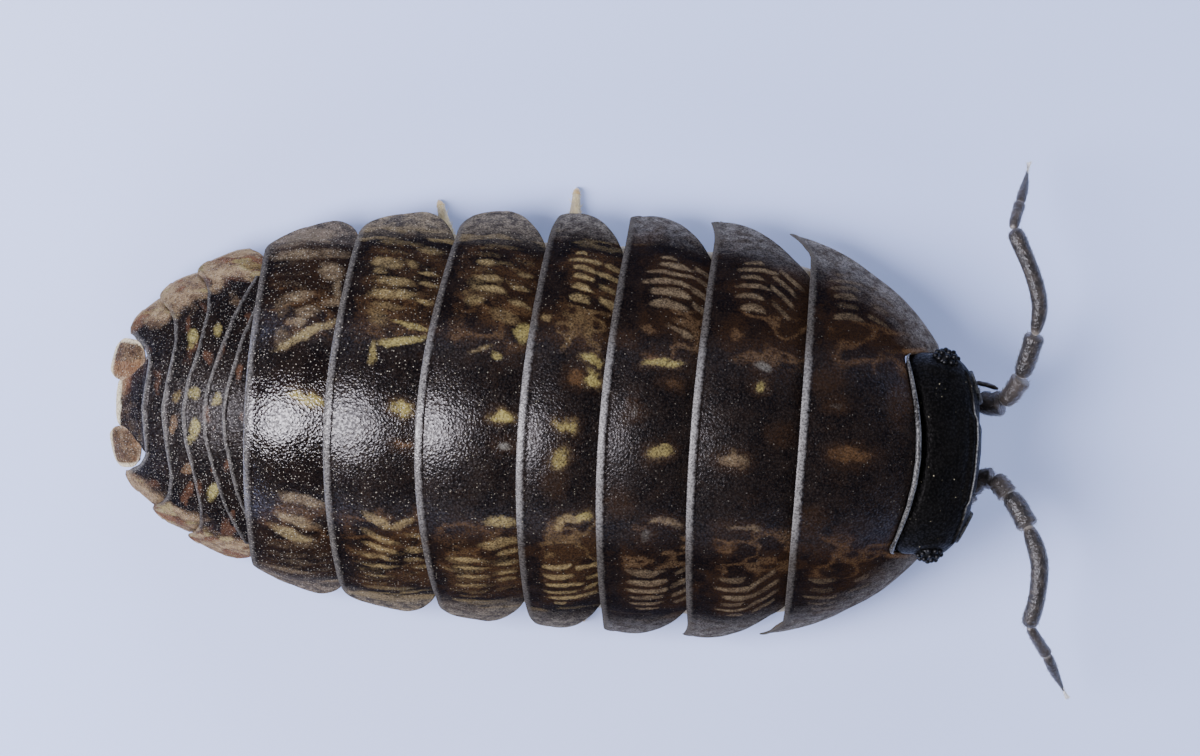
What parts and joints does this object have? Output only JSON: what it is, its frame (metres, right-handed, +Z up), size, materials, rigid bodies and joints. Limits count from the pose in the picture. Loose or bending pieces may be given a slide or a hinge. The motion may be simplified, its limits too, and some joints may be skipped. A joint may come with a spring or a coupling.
{
  "type": "pill woodlouse model",
  "caption": "Life-size still model of a mottled pill woodlouse pausing in a walk, with domed back plates, feelers held forward and legs on the floor.",
  "frame": {"origin": "middle of the whole outline, feelers included, on the floor that the feet stand on", "axes": "+X from the tail to the head, +Y to the animal's left, +Z up"},
  "size_m": [0.0194, 0.0104, 0.0053],
  "materials": {
    "cuticle": "glossy dark brown shell with tan and yellow mottling",
    "head_cuticle": "nearly black, finely grained shell",
    "eye": "glossy black beads",
    "feeler": "grey brown, satin",
    "underside": "pale grey to straw, satin"
  },
  "bodies": {
    "root": {"tergite_1": "cuticle", "tergite_2": "cuticle", "tergite_3": "cuticle", "tergite_4": "cuticle", "tergite_5": "cuticle", "tergite_6": "cuticle", "tergite_7": "cuticle", "abdomen": "cuticle", "telson": "cuticle", "uropod_left": "cuticle", "uropod_right": "cuticle", "head": "head_cuticle", "eye_left": "eye", "eye_right": "eye", "antenna_left": "feeler", "antenna_right": "feeler", "trunk": "underside", "mouthparts": "underside", "gill_plates": "underside", "leg_left_1": "underside", "leg_left_2": "underside", "leg_left_3": "underside", "leg_left_4": "underside", "leg_left_5": "underside", "leg_left_6": "underside", "leg_left_7": "underside", "leg_right_1": "underside", "leg_right_2": "underside", "leg_right_3": "underside", "leg_right_4": "underside", "leg_right_5": "underside", "leg_right_6": "underside", "leg_right_7": "underside"}
  },
  "joints": []
}
